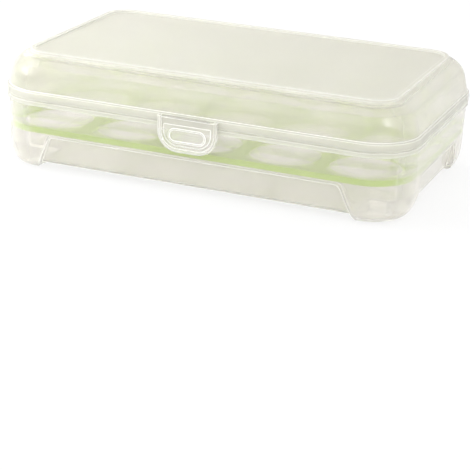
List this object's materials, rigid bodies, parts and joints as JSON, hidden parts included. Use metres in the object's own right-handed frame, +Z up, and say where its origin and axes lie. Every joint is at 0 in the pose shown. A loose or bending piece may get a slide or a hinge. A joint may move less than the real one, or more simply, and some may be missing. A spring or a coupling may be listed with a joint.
{
  "type": "egg keeper with flip lid",
  "caption": "Rectangular translucent egg keeper with a lift-out holed tray, a domed flip lid on living hinges at the rear and a snap latch flap at the front.",
  "frame": {"origin": "centre of the footprint on the plane of the foot bottoms", "axes": "+X along the length to the right seen from the latch side, -Y towards the latch, +Y towards the hinges, +Z up"},
  "size_m": [0.245, 0.1521, 0.0666],
  "materials": {
    "shell_base": "translucent natural polypropylene, smooth outside",
    "shell_lid": "translucent natural polypropylene, finely frosted on the flat top",
    "latch_flap": "translucent natural polypropylene, polished",
    "living_hinge": "thin flexed polypropylene web",
    "tray_green": "pale green moulded polypropylene"
  },
  "bodies": {
    "base": {"base": "shell_base", "rear_hinge_left": "living_hinge", "rear_hinge_right": "living_hinge"},
    "lid": {"lid": "shell_lid", "latch_hinge": "living_hinge"},
    "latch": {"latch": "latch_flap"},
    "tray": {"tray": "tray_green"}
  },
  "joints": [
    {"name": "lid_hinge", "type": "hinge", "parent": "base", "child": "lid", "pos_m": [0, 0.0752, 0.042], "axis": [-1, 0, 0], "range_deg": [0, 180], "deforming": ["rear_hinge_left", "rear_hinge_right"]},
    {"name": "latch_hinge_joint", "type": "hinge", "parent": "lid", "child": "latch", "pos_m": [0, -0.0742, 0.0459], "axis": [-1, 0, 0], "range_deg": [0, 100], "deforming": ["latch_hinge"]},
    {"name": "tray_lift", "type": "slide", "parent": "base", "child": "tray", "axis": [0, 0, 1], "range_m": [0, 0.016]}
  ]
}
